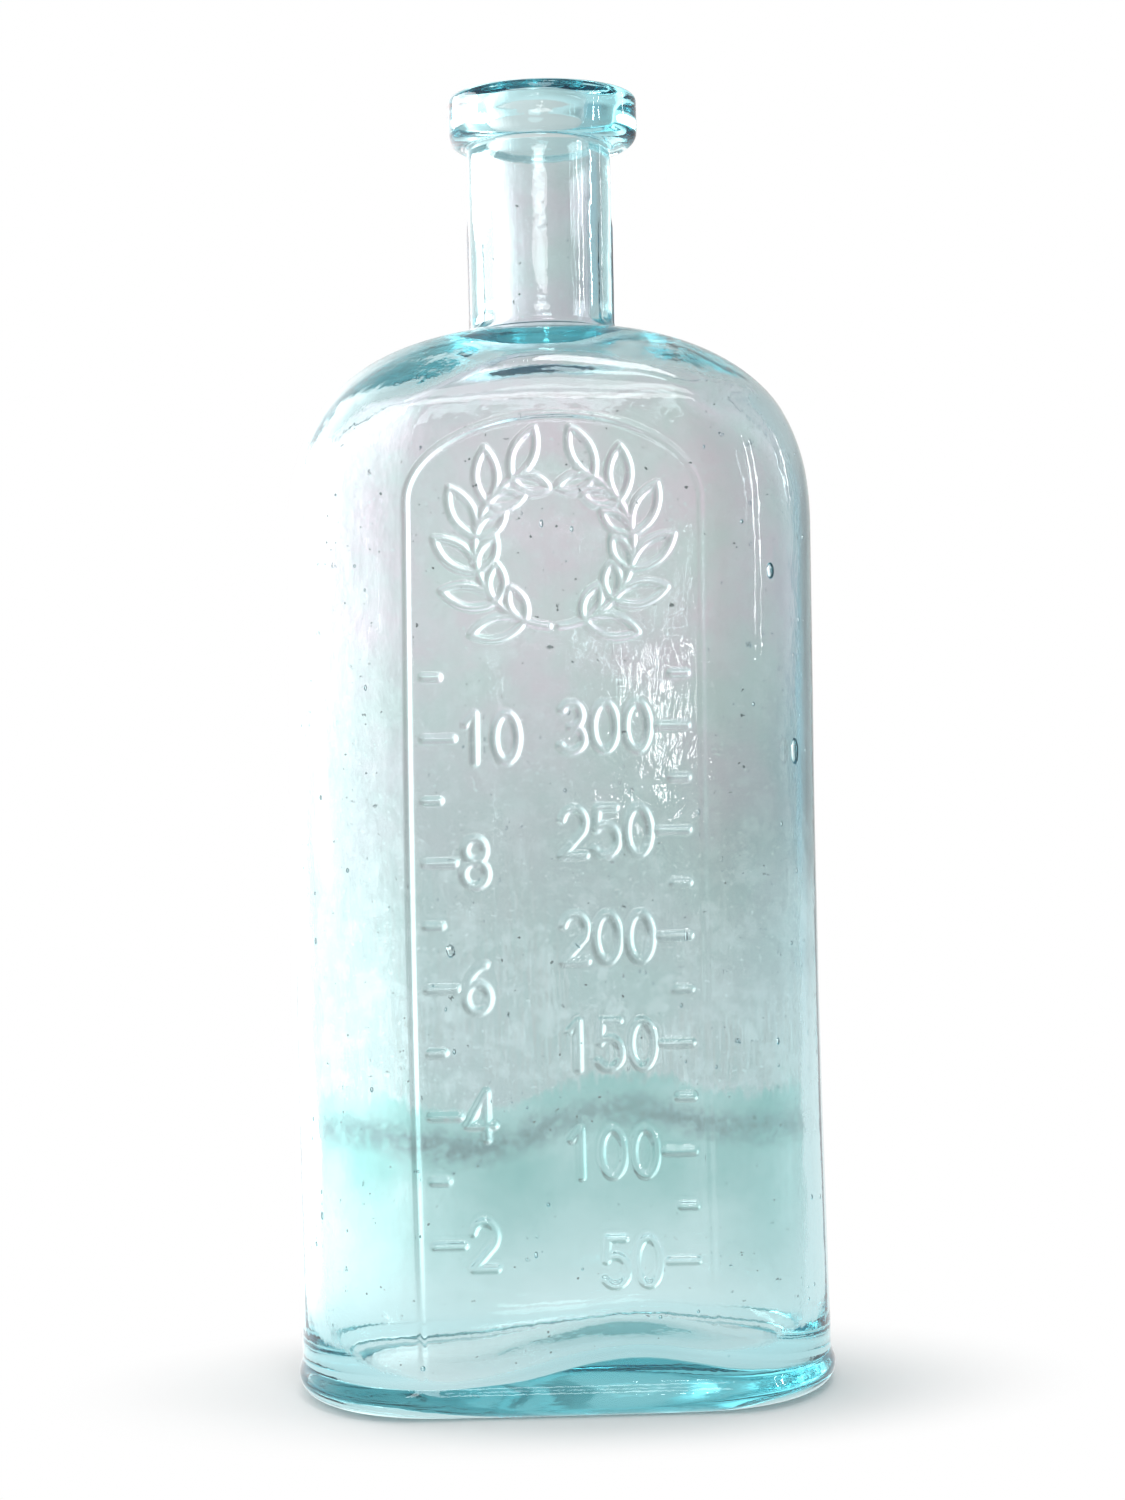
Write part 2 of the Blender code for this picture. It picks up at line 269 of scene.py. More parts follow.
def lip_rings():
    """The squared lip, from its join with the neck round to the mouth."""
    neck, mouth, lip = NECK_DIAMETER / 2, MOUTH_DIAMETER / 2, LIP_DIAMETER / 2
    rings = []

    def circle(z, radius, share):
        rings.append(Ring(z, radius, radius, 1.0, NECK_OFFSET * (1 - share), 0.0))

    join = LIP_JOIN_RADIUS
    for share in steps(LIP_JOIN_STEPS):
        turn = QUARTER_TURN * share
        circle(LIP_FOOT - join * (1 - math.sin(turn)), neck + join * (1 - math.cos(turn)), 0.0)
    for share in steps(LIP_LOWER_STEPS):
        turn = QUARTER_TURN * share
        radius = lip - LIP_LOWER_RADIUS * (1 - math.sin(turn))
        circle(LIP_FOOT + LIP_LOWER_RADIUS * (1 - math.cos(turn)), radius, 1.0)
    low, high = LIP_FOOT + LIP_LOWER_RADIUS, HEIGHT - LIP_EDGE_RADIUS
    for share in steps(LIP_BAND_STEPS, 1)[:-1]:
        circle(low + share * (high - low), lip, 1.0)
    for share in steps(LIP_EDGE_STEPS):
        turn = QUARTER_TURN * share
        radius = lip - LIP_EDGE_RADIUS * (1 - math.cos(turn))
        circle(HEIGHT - LIP_EDGE_RADIUS * (1 - math.sin(turn)), radius, 1.0)
    outer, inner = lip - LIP_EDGE_RADIUS, mouth + MOUTH_ROUNDING
    for share in steps(LIP_TOP_STEPS, 1)[:-1]:
        circle(HEIGHT, outer + share * (inner - outer), 1 - share)
    for share in steps(MOUTH_STEPS):
        turn = QUARTER_TURN * share
        radius = mouth + MOUTH_ROUNDING * (1 - math.sin(turn))
        circle(HEIGHT - MOUTH_ROUNDING * (1 - math.cos(turn)), radius, 0.0)
    return rings


def outside_rings():
    low_steps = [0.0] + panel_shares(SIDE_SHOULDER_START, FACE_SHOULDER_START)
    rings = foot_rings()
    for share in panel_shares(PANEL_FOOT, SIDE_SHOULDER_START)[:-1]:
        z = PANEL_FOOT + share * (SIDE_SHOULDER_START - PANEL_FOOT)
        rings.append(Ring(z, wall_half_width(z), DEPTH / 2, 0.0, 0.0, 0.0))
    rings += shoulder_rings(
        WIDTH_AT_SHOULDER / 2,
        DEPTH / 2,
        SHOULDER_CREST,
        NECK_DIAMETER / 2,
        NECK_ROOT_RADIUS,
        0.0,
        low_steps,
        steps(SHOULDER_STEPS, 1),
    )
    root, neck = rings[-1].z, NECK_DIAMETER / 2
    top = LIP_FOOT - LIP_JOIN_RADIUS
    for share in steps(NECK_STEPS, 1)[:-1]:
        rings.append(Ring(root + share * (top - root), neck, neck, 1.0, NECK_OFFSET, 0.0))
    return rings + lip_rings()


def inside_rings():
    bore = BORE_DIAMETER / 2
    shoulder = shoulder_rings(
        WIDTH_AT_SHOULDER / 2 - WALL_AT_SHOULDER,
        DEPTH / 2 - WALL_AT_SHOULDER,
        SHOULDER_CREST - SHOULDER_THICKNESS,
        bore,
        BORE_ROOT_RADIUS,
        1.0,
        steps(INSIDE_SIDE_STEPS),
        steps(INSIDE_SHOULDER_STEPS, 1),
    )
    top, foot = HEIGHT - MOUTH_ROUNDING, shoulder[-1].z
    rings = []
    for share in steps(BORE_STEPS, 1)[:-1]:
        z = top + share * (foot - top)
        radius = MOUTH_DIAMETER / 2 + share * (bore - MOUTH_DIAMETER / 2)
        rings.append(Ring(z, radius, radius, 1.0, NECK_OFFSET, smooth_step(BORE_HAZE_RATE * share)))
    rings += reversed(shoulder)
    floor_edge = FLOOR_THICKNESS + INSIDE_HEEL_RISE
    for share in steps(INSIDE_WALL_STEPS, 1):
        z = SIDE_SHOULDER_START + share * (floor_edge - SIDE_SHOULDER_START)
        wall = wall_thickness(z)
        rings.append(Ring(z, wall_half_width(z) - wall, DEPTH / 2 - wall, 0.0, 0.0, 1.0))
    side, face = rings[-1].half_width, rings[-1].half_depth
    for share in steps(INSIDE_HEEL_STEPS, 1):
        turn = QUARTER_TURN * share
        inset = INSIDE_HEEL_RADIUS * (1 - math.cos(turn))
        z = floor_edge - INSIDE_HEEL_RISE * math.sin(turn)
        rings.append(Ring(z, side - inset, face - inset, HEEL_ROUNDNESS * share, 0.0, 1.0))
    side, face = rings[-1].half_width, rings[-1].half_depth
    for share in reversed(steps(HOLLOW_FLOOR_STEPS, 1)[:-1]):
        z = FLOOR_THICKNESS + KICK_UP * (1 - share**2)
        rings.append(Ring(z, share * side, share * face, HEEL_ROUNDNESS, 0.0, 1.0))
    return rings


def shell():
    """The whole glass wall as one closed mesh, with its layer that tells inside from outside."""
    rings = outside_rings() + inside_rings()
    builder = bmesh.new()
    inside = builder.verts.layers.float.new("inside")
    loops = []
    for ring in rings:
        loop = [builder.verts.new(point) for point in ring_points(ring)]
        for vert in loop:
            vert[inside] = ring.inside
        loops.append(loop)
    count = len(loops[0])
    panel = []
    for lower, upper in zip(loops, loops[1:]):
        foot, top = lower[0].co.z, upper[0].co.z
        outside = lower[0][inside] == 0
        on_panel = outside and PANEL_FOOT < foot + TOLERANCE and top < FACE_SHOULDER_START + TOLERANCE
        for i in range(count):
            j = (i + 1) % count
            face = builder.faces.new((lower[i], lower[j], upper[j], upper[i]))
            if on_panel and (i < FRONT_STEPS or i >= count - FRONT_STEPS):
                panel.append(face)
    ends = (
        (builder.verts.new((0.0, 0.0, KICK_UP)), loops[0], 0.0),
        (builder.verts.new((0.0, 0.0, FLOOR_THICKNESS + KICK_UP)), loops[-1][::-1], 1.0),
    )
    for middle, loop, side in ends:
        middle[inside] = side
        for i in range(count):
            builder.faces.new((middle, loop[(i + 1) % count], loop[i]))
    edges = list({edge for face in panel for edge in face.edges})
    bmesh.ops.subdivide_edges(builder, edges=edges, cuts=PANEL_CUTS, use_grid_fill=True)
    bmesh.ops.recalc_face_normals(builder, faces=builder.faces)
    mesh = bpy.data.meshes.new("glass")
    builder.to_mesh(mesh)
    builder.free()
    return mesh


# Relief on the front: the plate's seam, a laurel wreath and a measure in fluid ounces and millilitres
ARC_STEPS = 14
PLATE_ARCH_STEPS = 40


def arc(centre_x, centre_y, radius_x, radius_y, start, end, count=ARC_STEPS):
    """Points on an ellipse, with angles in degrees from +x."""
    turns = [math.radians(start + (end - start) * share) for share in steps(count)]
    return [(centre_x + radius_x * math.cos(turn), centre_y + radius_y * math.sin(turn)) for turn in turns]


# The digits that the measure needs, as strokes in a box that is one high
DIGIT_WIDTH = 0.62
DIGIT_GAP = 0.24
DIGIT_SLIMNESS = 0.8
DIGITS = {
    "0": [arc(0.31, 0.5, 0.31, 0.5, 0, 360, 24)],
    "1": [[(0.1, 0.8), (0.34, 1.0), (0.34, 0.0)]],
    "2": [arc(0.31, 0.69, 0.31, 0.31, 165, -40) + [(0.0, 0.0), (0.62, 0.0)]],
    "3": [arc(0.29, 0.75, 0.27, 0.25, 150, -90), arc(0.29, 0.25, 0.33, 0.25, 90, -150)],
    "4": [[(0.46, 0.0), (0.46, 1.0), (-0.04, 0.3), (0.66, 0.3)]],
    "5": [[(0.56, 1.0), (0.1, 1.0), (0.05, 0.54)] + arc(0.28, 0.32, 0.34, 0.32, 130, -145)],
    "6": [arc(0.31, 0.3, 0.31, 0.3, 0, 360, 20), arc(0.62, 0.3, 0.62, 0.7, 180, 100)],
    "8": [arc(0.31, 0.76, 0.26, 0.24, 0, 360, 18), arc(0.31, 0.26, 0.31, 0.26, 0, 360, 20)],
}


def number_width(text, height):
    return (len(text) * (DIGIT_WIDTH + DIGIT_GAP) - DIGIT_GAP) * height * DIGIT_SLIMNESS


def number_strokes(text, left, foot, height):
    strokes = []
    wide = height * DIGIT_SLIMNESS
    for place, digit in enumerate(text):
        start = left + place * (DIGIT_WIDTH + DIGIT_GAP) * wide
        for stroke in DIGITS[digit]:
            strokes.append([(start + x * wide, foot + z * height) for x, z in stroke])
    return strokes


# The measure: volumes in cubic metres, and places across and up the front
FLUID_OUNCE = 29.57e-6
OUNCE_TICKS = 12
MILLILITRE = 1e-6
MILLILITRES_A_TICK = 25
MILLILITRE_TICKS = 16
DIGIT_HEIGHT = 0.0074
TICK_INNER = 0.0160
TICK_OUTER = 0.0205
SHORT_TICK_INNER = 0.0182
NUMBER_EDGE = 0.0146
MEASURE_FOOT = 0.022
MEASURE_TOP = 0.118


def section_area(ring):
    points = ring_points(ring)
    return abs(sum(a[0] * b[1] - b[0] * a[1] for a, b in zip(points, points[1:] + points[:1]))) / 2


def level_heights(volumes):
    """Heights that the liquid reaches at each volume, summed in slices up the wide part of the hollow."""
    rings = [ring for ring in inside_rings() if ring.half_width > WIDTH_AT_BASE / 4][::-1]
    filled, heights = [0.0], [rings[0].z]
    for below, above in zip(rings, rings[1:]):
        filled.append(filled[-1] + (section_area(below) + section_area(above)) / 2 * (above.z - below.z))
        heights.append(above.z)
    return [float(np.interp(volume, filled, heights)) for volume in volumes]


def scale_strokes(side, volume, value, count):
    """Ticks up one edge of the plate at the levels of each volume, every second one with its value."""
    heights = level_heights([volume * tick for tick in range(1, count + 1)])
    strokes = []
    for tick, z in enumerate(heights, 1):
        if not MEASURE_FOOT < z < MEASURE_TOP:
            continue
        numbered = tick % 2 == 0
        inner = TICK_INNER if numbered else SHORT_TICK_INNER
        strokes.append([(side * TICK_OUTER, z), (side * inner, z)])
        if numbered:
            text = str(value * tick)
            left = -NUMBER_EDGE if side < 0 else NUMBER_EDGE - number_width(text, DIGIT_HEIGHT)
            strokes += number_strokes(text, left, z - DIGIT_HEIGHT / 2, DIGIT_HEIGHT)
    return strokes


def measure_strokes():
    """Ounces up the left edge of the plate and millilitres up the right, at their true heights."""
    ounces = scale_strokes(-1, FLUID_OUNCE, 1, OUNCE_TICKS)
    volume = MILLILITRES_A_TICK * MILLILITRE
    return ounces + scale_strokes(1, volume, MILLILITRES_A_TICK, MILLILITRE_TICKS)


# The wreath: angles in degrees from the right, and leaves by length, width and lean in radians
WREATH_CENTRE = 0.1365
WREATH_RADIUS = 0.0124
STEM_START = -86
STEM_SWEEP = 152
STEM_STEPS = 20
FIRST_LEAF = -68
LEAF_SPACING = 25.5
LEAVES_A_SIDE = 6
LEAF_STEPS = 8
LEAF_FULLNESS = 0.8
OUTER_LEAF = (0.0086, 0.0034, 0.62)
INNER_LEAF = (0.0058, 0.0026, -0.78)


def leaf(base, angle, length, width):
    """The pointed oval outline of a leaf that grows from base."""
    outline = []
    for share in steps(LEAF_STEPS):
        outline.append((share * length, width / 2 * math.sin(math.pi * share) ** LEAF_FULLNESS))
    outline += [(x, -y) for x, y in reversed(outline[:-1])]
    cos, sin = math.cos(angle), math.sin(angle)
    return [(base[0] + x * cos - y * sin, base[1] + x * sin + y * cos) for x, y in outline]


def on_wreath(side, turn):
    return (side * WREATH_RADIUS * math.cos(turn), WREATH_CENTRE + WREATH_RADIUS * math.sin(turn))


def wreath_strokes():
    """Two laurel sprays that meet at the foot and leave the top open."""
    strokes = []
    for side in (-1, 1):
        turns = [math.radians(STEM_START + STEM_SWEEP * share) for share in steps(STEM_STEPS)]
        strokes.append([on_wreath(side, turn) for turn in turns])
        for place in range(LEAVES_A_SIDE):
            turn = math.radians(FIRST_LEAF + LEAF_SPACING * place)
            for length, width, lean in (OUTER_LEAF, INNER_LEAF):
                along = turn + QUARTER_TURN - lean
                angle = along if side > 0 else math.pi - along
                strokes.append(leaf(on_wreath(side, turn), angle, length, width))
    return strokes


def plate_strokes():
    half_width = PLATE_WIDTH / 2
    spring = PLATE_TOP - PLATE_ARCH_RISE
    arch = arc(0.0, spring, half_width, PLATE_ARCH_RISE, 0, 180, PLATE_ARCH_STEPS)[::-1]
    return [[(-half_width, SEAM_HEIGHT)] + arch + [(half_width, SEAM_HEIGHT)]]


def distance_to(strokes, x, z, reach):
    """Distance from each point to the nearest stroke, where that is under reach."""
    nearest = np.full(len(x), reach)
    for stroke in strokes:
        for (ax, az), (bx, bz) in zip(stroke, stroke[1:]):
            near = np.nonzero(
                (x > min(ax, bx) - reach) & (x < max(ax, bx) + reach)
                & (z > min(az, bz) - reach) & (z < max(az, bz) + reach)
            )[0]
            dx, dz = bx - ax, bz - az
            along = ((x[near] - ax) * dx + (z[near] - az) * dz) / max(dx * dx + dz * dz, TINY)
            along = np.clip(along, 0, 1)
            gap = np.hypot(x[near] - ax - along * dx, z[near] - az - along * dz)
            nearest[near] = np.minimum(nearest[near], gap)
    return nearest


# Ridges by half width and height. The plate's seam wears off to the right and towards the foot
RIDGE_POWER = 1.15
SEAM_RIDGE = (0.0006, 0.00040)
NUMBER_RIDGE = (0.0008, 0.00055)
WREATH_RIDGE = (0.0007, 0.00048)
SEAM_WEAR = 0.75
SEAM_WEAR_START = 0.006
SEAM_WEAR_REACH = 0.012
SEAM_FOOT_HEIGHTS = (0.008, 0.030)
SEAM_FOOT_SHARES = (0.35, 1.0)


def bead(distance, half_width, height):
    """A rounded ridge of this height along the strokes."""
    share = np.clip(distance / half_width, 0, 1)
    return height * (1 - share**2) ** RIDGE_POWER


def climb(value, start, reach):
    """Rises evenly from 0 at the start to 1 one reach further on, and stays there."""
    return np.clip((value - start) / reach, 0, 1)


def front_relief(x, z):
    """How far the front stands proud at each point."""
    wear = 1 - SEAM_WEAR * climb(x, SEAM_WEAR_START, SEAM_WEAR_REACH)
    wear *= np.interp(z, SEAM_FOOT_HEIGHTS, SEAM_FOOT_SHARES)
    relief = wear * bead(distance_to(plate_strokes(), x, z, SEAM_RIDGE[0]), *SEAM_RIDGE)
    for strokes, ridge in ((measure_strokes(), NUMBER_RIDGE), (wreath_strokes(), WREATH_RIDGE)):
        relief = np.maximum(relief, bead(distance_to(strokes, x, z, ridge[0]), *ridge))
    return relief


# The unevenness of blown glass
SIDE_SEAM_PROUD = 0.00022
SIDE_SEAM_STOP = 0.012
BODY_BOW = -0.0006
SHOULDER_TILT = 0.010
TILT_MARGIN = 0.002

# Ripples by height, slow and fine ones to a metre, and the fine ones' share
OUTSIDE_RIPPLE = (0.00005, 60, 190, 0.3)
INSIDE_RIPPLE = (0.00022, 38, 110, 0.35)
RIPPLE_FADE = 0.012
LEAST_RIPPLE_AT_LIP = 0.3
INSIDE_RIPPLE_START = 0.004
INSIDE_RIPPLE_FADE = 0.004
NECK_WAVER = 2.5
NECK_WAVER_REACH = 0.006

# The hollow's floor dips, but for a swell towards the front right
HOLLOW_FLOOR_DROP = -0.0034
HOLLOW_FLOOR_SWELL = 0.0060
HOLLOW_FLOOR_SWELL_X = 0.0105
HOLLOW_FLOOR_SWELL_REACH = 0.020
HOLLOW_FLOOR_BACK = -0.008
HOLLOW_FLOOR_BACK_REACH = 0.022
HOLLOW_FLOOR_HEIGHT = 0.012
HOLLOW_FLOOR_FADE = 0.022

# The right shoulder is thinner
SHOULDER_THINNING = 0.0019
THINNING_X = 0.004
THINNING_REACH = 0.016
THINNING_TOP = 0.174
THINNING_FADE = 0.004


def ripple(point, is_hollow):
    """How far the surface wanders at a point, in metres."""
    if is_hollow:
        height, slow, fine, share = INSIDE_RIPPLE
        shifts = (Vector((0, 0, 0)), Vector((7, 3, 1)))
    else:
        height, slow, fine, share = OUTSIDE_RIPPLE
        shifts = (Vector((3, 9, 5)), Vector((1, 4, 8)))
    return height * (noise.noise(point * slow + shifts[0]) + share * noise.noise(point * fine + shifts[1]))


def vertex_vectors(mesh, name):
    values = np.empty(len(mesh.vertices) * 3, np.float32)
    mesh.vertices.foreach_get(name, values)
    return values.reshape(-1, 3).astype(float)


def relief_and_ripples(place, hollow):
    """How far each point of the shell moves out along its normal. Hollow marks the points inside."""
    x, y, z = place.T
    relief = np.zeros(len(place))
    front = (~hollow) & (y < -DEPTH / 2 + TOLERANCE)
    front &= (z > PANEL_FOOT - PANEL_CELL) & (z < FACE_SHOULDER_START + TOLERANCE)
    relief[front] = front_relief(x[front], z[front])
    side = (~hollow) & (np.abs(y) < TOLERANCE) & (z > PANEL_FOOT) & (z < LIP_FOOT - SIDE_SEAM_STOP)
    relief[side] += SIDE_SEAM_PROUD
    ripples = np.array([ripple(Vector(point), flag) for point, flag in zip(place, hollow)])
    fade = climb(z, 0, RIPPLE_FADE) * np.clip((HEIGHT - z) / RIPPLE_FADE, LEAST_RIPPLE_AT_LIP, 1)
    fade *= 1 + (NECK_WAVER - 1) * climb(z, SHOULDER_CREST, NECK_WAVER_REACH)
    fade[hollow] = climb(z[hollow], INSIDE_RIPPLE_START, INSIDE_RIPPLE_FADE)
    return relief + ripples * fade


def weather(mesh):
    """Raises the moulded relief, then bends and ripples the shell as blown glass is."""
    place = vertex_vectors(mesh, "co")
    inside = np.empty(len(place), np.float32)
    mesh.attributes["inside"].data.foreach_get("value", inside)
    hollow = inside > 0.5
    x, y, z = place.T.copy()
    place += vertex_vectors(mesh, "normal") * relief_and_ripples(place, hollow)[:, None]

    low = (1 - climb(z, HOLLOW_FLOOR_HEIGHT, HOLLOW_FLOOR_FADE)) * hollow
    off_swell = (x - HOLLOW_FLOOR_SWELL_X) / HOLLOW_FLOOR_SWELL_REACH
    to_back = climb(y, HOLLOW_FLOOR_BACK, HOLLOW_FLOOR_BACK_REACH)
    swell = HOLLOW_FLOOR_DROP + HOLLOW_FLOOR_SWELL * np.exp(-(off_swell**2)) * (1 - to_back)
    place[:, 2] += swell * low**2 * (3 - 2 * low)

    place[:, 0] += BODY_BOW * np.sin(math.pi * climb(z, 0, SIDE_SHOULDER_START))
    crest = climb(z, SIDE_SHOULDER_START, SHOULDER_CREST - SIDE_SHOULDER_START)
    place[:, 2] += SHOULDER_TILT * x * crest * (z < SHOULDER_CREST + TILT_MARGIN)
    thin = climb(x, THINNING_X, THINNING_REACH) * np.clip((THINNING_TOP - z) / THINNING_FADE, 0, 1)
    place[:, 2] += SHOULDER_THINNING * thin * crest * hollow
    place = np.clip(place, cad_bounds[0], cad_bounds[1])
    mesh.vertices.foreach_set("co", place.astype(np.float32).ravel())


# Seeds and blisters: the bubbles shut in the glass
BUBBLE_SUBDIVISIONS = 2
RANDOM_SEED = 7
SEED_COUNT = 420
SEED_HEIGHTS = (0.008, 0.166)
SEED_RADII = (0.00010, 0.00034)
SEED_FINENESS = 2.5
SEED_STRETCH = (1.0, 2.2)
SEED_HALF_THICKNESS = 0.0005
SEED_DEPTH_SHARE = 0.45

# The large ones: place and radius
BLISTERS = (
    (0.0335, -0.0200, 0.1327, 0.0008),
    (0.0372, -0.0160, 0.1030, 0.0013),
    (-0.0180, 0.0250, 0.0700, 0.0007),
)
BLISTER_STRETCH = 1.7


def bubble_form():
    """Points and faces of a ball whose faces look inwards."""
    builder = bmesh.new()
    bmesh.ops.create_icosphere(builder, subdivisions=BUBBLE_SUBDIVISIONS, radius=1.0)
    points = [vert.co.copy() for vert in builder.verts]
    faces = [[vert.index for vert in reversed(face.verts)] for face in builder.faces]
    builder.free()
    return points, faces


def scatter_seeds():
    """Target point, radius and upward stretch of each bubble."""
    random = np.random.RandomState(RANDOM_SEED)
    bubbles = []
    for _ in range(SEED_COUNT):
        side = random.uniform(0, 2 * math.pi)
        z = random.uniform(*SEED_HEIGHTS)
        target = (WIDTH_AT_BASE / 2 * math.sin(side), -DEPTH / 2 * math.cos(side), z)
        size = SEED_RADII[0] + (SEED_RADII[1] - SEED_RADII[0]) * random.uniform() ** SEED_FINENESS
        bubbles.append((target, size, random.uniform(*SEED_STRETCH)))
    bubbles += [((x, y, z), radius, BLISTER_STRETCH) for x, y, z, radius in BLISTERS]
    return bubbles


def make_seeds(mesh):
    """A mesh of the bubbles: small closed surfaces that look inwards, to the air that they hold."""
    inside = mesh.attributes["inside"].data
    outer = [vert for vert in mesh.vertices if inside[vert.index].value < 0.5]
    tree = kdtree.KDTree(len(outer))
    for index, vert in enumerate(outer):
        tree.insert(vert.co, index)
    tree.balance()
    form, form_faces = bubble_form()
    points, faces = [], []
    for target, radius, stretch in scatter_seeds():
        vert = outer[tree.find(target)[1]]
        centre = vert.co - vert.normal * (SEED_DEPTH_SHARE * wall_thickness(vert.co.z))
        turn = Vector((0, 0, 1)).rotation_difference(vert.normal).to_matrix()
        flat = min(radius, SEED_HALF_THICKNESS)
        faces += [[len(points) + corner for corner in face] for face in form_faces]
        for x, y, z in form:
            point = turn @ Vector((x * radius, y * radius, z * flat))
            point.z *= stretch
            points.append(centre + point)
    seeds = bpy.data.meshes.new("seeds")
    seeds.from_pydata(points, [], faces)
    return seeds


def add_seeds(mesh):
    seeds = make_seeds(mesh)
    builder = bmesh.new()
    builder.from_mesh(mesh)
    builder.from_mesh(seeds)
    builder.to_mesh(mesh)
    builder.free()


class Tree:
    """Short ways to add shader nodes."""

    def __init__(self, tree):
        self.nodes, self.links = tree.nodes, tree.links

    def put(self, value, socket):
        if isinstance(value, bpy.types.NodeSocket):
            self.links.new(value, socket)
        else:
            socket.default_value = value

    def maths(self, operation, a, b=0.0):
        node = self.nodes.new("ShaderNodeMath")
        node.operation = operation
        self.put(a, node.inputs[0])
        self.put(b, node.inputs[1])
        return node.outputs[0]

    def add(self, a, b):
        return self.maths("ADD", a, b)

    def subtract(self, a, b):
        return self.maths("SUBTRACT", a, b)

    def multiply(self, a, b):
        return self.maths("MULTIPLY", a, b)

    def maximum(self, a, b):
        return self.maths("MAXIMUM", a, b)

    def vector_maths(self, operation, a, b=(0, 0, 0)):
        node = self.nodes.new("ShaderNodeVectorMath")
        node.operation = operation
        self.put(a, node.inputs[0])
        self.put(b, node.inputs[1])
        return node.outputs["Value" if operation == "LENGTH" else "Vector"]

    def split(self, vector):
        node = self.nodes.new("ShaderNodeSeparateXYZ")
        self.put(vector, node.inputs["Vector"])
        return tuple(node.outputs)

    def ramp(self, value, low, high, to_low=0.0, to_high=1.0):
        node = self.nodes.new("ShaderNodeMapRange")
        node.interpolation_type = "SMOOTHSTEP"
        self.put(value, node.inputs["Value"])
        node.inputs["From Min"].default_value = low
        node.inputs["From Max"].default_value = high
        node.inputs["To Min"].default_value = to_low
        node.inputs["To Max"].default_value = to_high
        return node.outputs["Result"]

    def noise(self, vector, grain):
        mapping = self.nodes.new("ShaderNodeMapping")
        mapping.inputs["Scale"].default_value = grain.stretch
        mapping.inputs["Location"].default_value = grain.shift
        self.put(vector, mapping.inputs["Vector"])
        node = self.nodes.new("ShaderNodeTexNoise")
        node.inputs["Scale"].default_value = grain.scale
        node.inputs["Detail"].default_value = grain.detail
        self.put(mapping.outputs["Vector"], node.inputs["Vector"])
        return node.outputs["Fac"]

    def marks(self, vector, kind, least=0.0, most=1.0):
        """Noise cut down to marks with soft edges: least between the marks, and most on them."""
        return self.ramp(self.noise(vector, kind.grain), kind.low, kind.high, least, most)

    def number_mix(self, share, a, b):
        node = self.nodes.new("ShaderNodeMix")
        self.put(share, node.inputs["Factor"])
        self.put(a, node.inputs["A"])
        self.put(b, node.inputs["B"])
        return node.outputs["Result"]

    def mix(self, share, a, b):
        node = self.nodes.new("ShaderNodeMix")
        node.data_type = "RGBA"
        self.put(share, node.inputs["Factor"])
        self.put(a, node.inputs["A"])
        self.put(b, node.inputs["B"])
        return node.outputs["Result"]


# Noise by scale, detail, stretch and shift, and marks by their noise and where in it their edges lie
Grain = namedtuple("Grain", "scale detail stretch shift", defaults=((1, 1, 1), (0, 0, 0)))
Marks = namedtuple("Marks", "grain low high")

# On the inside wall: haze, partly real and partly painted shade of a darker wall behind the bottle, down to
# a slanting wavy edge, and below that one dark line of painted shade where the table's edge behind shows
# through
HAZE_AND_SHADE_EDGE = 0.0480
HAZE_AND_SHADE_EDGE_SOFTNESS = 0.0009
EDGE_FEATHER = 0.006
FEATHER_GRAIN = Grain(800.0, 3.0, (1, 1, 0.10))
# Painted shade: the dark line stands in for the table's edge behind the bottle, and the haze's edge and the
# tint below follow its slanting wavy level
SHADE_LINE_LEVEL = 0.0420
SHADE_LINE_REACH = 0.0042
HORIZON_SIDE_SLOPE = 0.05
HORIZON_FACE_SLOPE = 0.145
HORIZON_WAVE = 0.0024
HORIZON_WAVE_LENGTH = 0.046
HORIZON_WAVE_START = -0.0035
HORIZON_FRAY = 0.0035
FRAY_GRAIN = Grain(260.0, 5.0)
SHADE_LINE_GRAIN = Marks(Grain(600.0, 8.0), 0.38, 0.58)
LEAST_SHADE_LINE_GRAIN = 0.4
SHADE_LINE_BREAKS = Marks(Grain(40.0, 2.0), 0.40, 0.60)
LEAST_AT_BREAKS = 0.6
# A mottled green tint, strongest just below the dark line and fading downwards
LOW_TINT_DEPTH = 0.0420
LOW_TINT_TOP_GAP = 0.0010
LOW_TINT_MOTTLE = Marks(Grain(60.0, 6.0), 0.30, 0.65)
LEAST_LOW_TINT = 0.55

# Marks in the haze
PATCHES = Marks(Grain(60.0, 2.0, shift=(0.1, 0.4, 0.2)), 0.42, 0.60)
STREAKS = Marks(Grain(1500.0, 3.0, (1, 1, 0.06)), 0.44, 0.62)
SCRATCHES = Marks(Grain(1700.0, 2.0, (1, 1, 0.07), (0.5, 0.2, 0)), 0.56, 0.63)
SPECKS = Marks(Grain(1300.0, 2.0), 0.66, 0.71)
DARK_SPECKS = Marks(Grain(1000.0, 1.0, shift=(0.7, 0.3, 0)), 0.765, 0.795)
BLOTCHES = Marks(Grain(230.0, 8.0, shift=(0.3, 0.1, 0)), 0.50, 0.66)
CLOUDS = Marks(Grain(75.0, 7.0), 0.34, 0.66)
LOW_HAZE_HEIGHTS = (0.105, 0.060)
HAZE_AND_SHADE_COLOUR_HEIGHTS = (0.130, 0.075)
HIGH_RESIDUE = 0.5
SPECK_PALENESS = 0.9
SCRATCH_PALENESS = 0.5
RESIDUE_PALENESS = 0.70

# Shares of the light that do not pass: in the haze, more in its pale marks, and in the dark line of painted
# shade
HAZE_COVER = 0.03
PALE_COVER = 0.03
SHADE_LINE_COVER = 0.08

# Tints of the light that passes. The second of a pair lies in clouds on the first
CLEAR = (1, 1, 1, 1)
